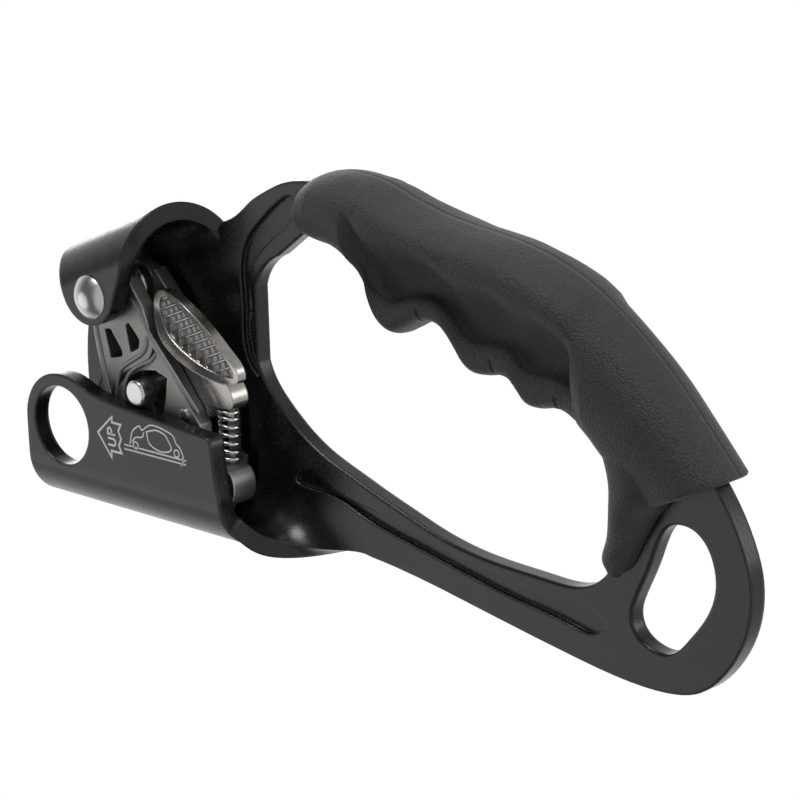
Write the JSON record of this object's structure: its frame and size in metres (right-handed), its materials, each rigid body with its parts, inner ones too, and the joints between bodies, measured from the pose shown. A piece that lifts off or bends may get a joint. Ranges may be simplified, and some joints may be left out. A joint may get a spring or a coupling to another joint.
{
  "type": "rope ascender",
  "caption": "Handled rope ascender with a folded plate frame, a sprung toothed cam that grips a rope in a side channel, a thumb-worked safety catch and a moulded finger grip.",
  "frame": {"origin": "on the rope channel's centre line, level with the middle of the cam's bite", "axes": "+Z along the rope, towards the upper attachment hole; +X from the rope channel towards the grip; +Y through the plate, away from the side that carries the cam"},
  "size_m": [0.095, 0.0355, 0.1932],
  "materials": {
    "black_frame": "satin black anodised",
    "grip_rubber": "matte moulded rubber, fine leather grain",
    "cast_steel": "bead-blasted casting, polished ridges",
    "catch_steel": "polished, knurled thumb pad",
    "bright_steel": "turned and polished",
    "spring_wire": "bright drawn wire",
    "washer_nylon": "moulded"
  },
  "bodies": {
    "frame": {"frame": "black_frame", "grip_front": "grip_rubber", "grip_back": "grip_rubber", "cam_axle": "bright_steel", "axle_washer_front": "washer_nylon", "axle_washer_rear": "washer_nylon"},
    "cam": {"cam": "cast_steel", "cam_stop_pin": "bright_steel", "catch_pivot_pin": "bright_steel", "cam_torsion_spring": "spring_wire", "spring_sleeve": "washer_nylon", "catch_spring": "spring_wire"},
    "catch": {"safety_catch": "catch_steel"}
  },
  "joints": [
    {"name": "cam_pivot", "type": "hinge", "parent": "frame", "child": "cam", "pos_m": [0.0396, 0, 0.0236], "axis": [0, -1, 0], "range_deg": [0, 34], "stiffness_Nm_per_rad": 0.08, "springref_deg": -22.92, "deforming": ["cam_torsion_spring"]},
    {"name": "catch_pivot", "type": "hinge", "parent": "cam", "child": "catch", "pos_m": [0.0159, 0, 0.0003], "axis": [0, 1, 0], "range_deg": [0, 18], "stiffness_Nm_per_rad": 0.03, "springref_deg": -20.05, "deforming": ["catch_spring"]}
  ]
}
